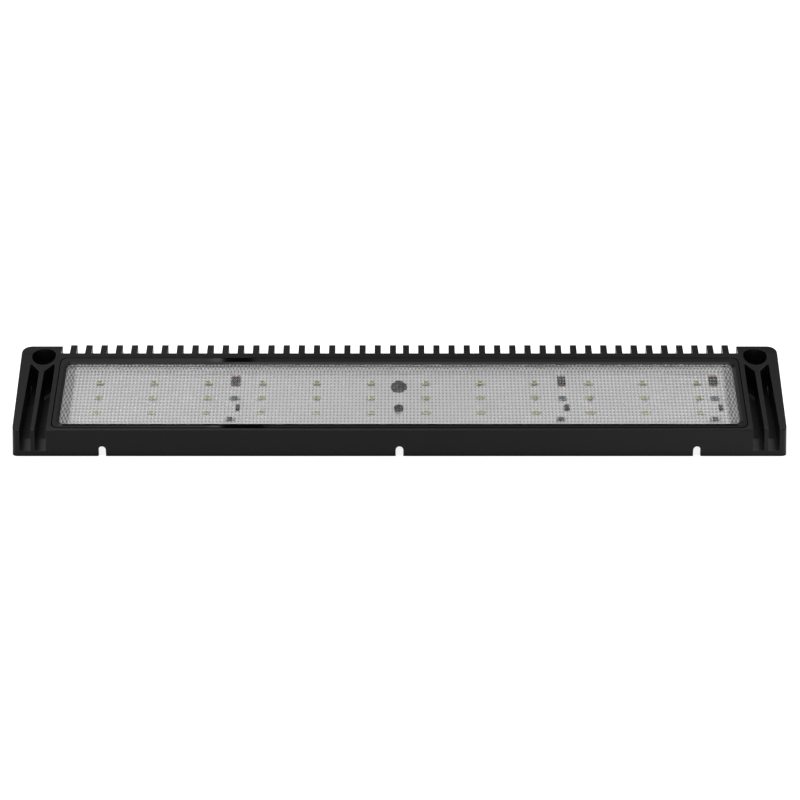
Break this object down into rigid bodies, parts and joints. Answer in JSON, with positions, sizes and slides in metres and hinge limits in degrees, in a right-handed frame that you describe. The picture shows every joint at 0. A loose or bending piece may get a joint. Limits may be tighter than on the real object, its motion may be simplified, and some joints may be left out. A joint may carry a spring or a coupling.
{
  "type": "rv porch light",
  "caption": "Long LED porch light for an outside wall: finned black die casting, clear prismatic window in a glossy bezel, end blocks with counterbored screw holes.",
  "frame": {"origin": "middle of the mounting plane, at the bottom centre of the overall box", "axes": "+X along the light, +Y from the skirt (underside on the wall) to the fins (top on the wall), +Z out from the wall"},
  "size_m": [0.4658, 0.07, 0.045],
  "materials": {
    "cast_housing": "black powder coat, satin",
    "clear_polycarbonate": "clear, prismatic inside",
    "black_bezel": "polished black",
    "silicone_seal": "matt",
    "reflector_plastic": "satin white",
    "board_mask": "white solder mask on an aluminium core",
    "thermal_pad": "matt grey",
    "grommet_rubber": "matt",
    "potting_compound": "satin",
    "screw_steel": "blackened",
    "led_package": "white package, yellow phosphor",
    "chip_epoxy": "moulded",
    "resistor_ceramic": "glazed",
    "diode_epoxy": "moulded",
    "capacitor_ceramic": "fired"
  },
  "bodies": {
    "root": {"housing": "cast_housing", "lens": "clear_polycarbonate", "lens_bezel": "black_bezel", "lens_seal": "silicone_seal", "reflector_frame": "reflector_plastic", "led_board": "board_mask", "thermal_pad": "thermal_pad", "wire_grommet": "grommet_rubber", "potting_seal": "potting_compound", "board_screw": "screw_steel", "led_r1_c01": "led_package", "led_r1_c02": "led_package", "led_r1_c03": "led_package", "led_r1_c04": "led_package", "led_r1_c05": "led_package", "led_r1_c06": "led_package", "led_r1_c07": "led_package", "led_r1_c08": "led_package", "led_r1_c09": "led_package", "led_r1_c10": "led_package", "led_r1_c11": "led_package", "led_r1_c12": "led_package", "led_r2_c01": "led_package", "led_r2_c02": "led_package", "led_r2_c03": "led_package", "led_r2_c04": "led_package", "led_r2_c05": "led_package", "led_r2_c06": "led_package", "led_r2_c07": "led_package", "led_r2_c08": "led_package", "led_r2_c09": "led_package", "led_r2_c10": "led_package", "led_r2_c11": "led_package", "led_r2_c12": "led_package", "led_r3_c01": "led_package", "led_r3_c02": "led_package", "led_r3_c03": "led_package", "led_r3_c04": "led_package", "led_r3_c05": "led_package", "led_r3_c06": "led_package", "led_r3_c07": "led_package", "led_r3_c08": "led_package", "led_r3_c09": "led_package", "led_r3_c10": "led_package", "led_r3_c11": "led_package", "led_r3_c12": "led_package", "driver_chip_1": "chip_epoxy", "sense_resistor_1": "resistor_ceramic", "diode_1": "diode_epoxy", "capacitor_1": "capacitor_ceramic", "driver_chip_2": "chip_epoxy", "sense_resistor_2": "resistor_ceramic", "diode_2": "diode_epoxy", "capacitor_2": "capacitor_ceramic", "driver_chip_3": "chip_epoxy", "sense_resistor_3": "resistor_ceramic", "diode_3": "diode_epoxy", "capacitor_3": "capacitor_ceramic"}
  },
  "joints": []
}
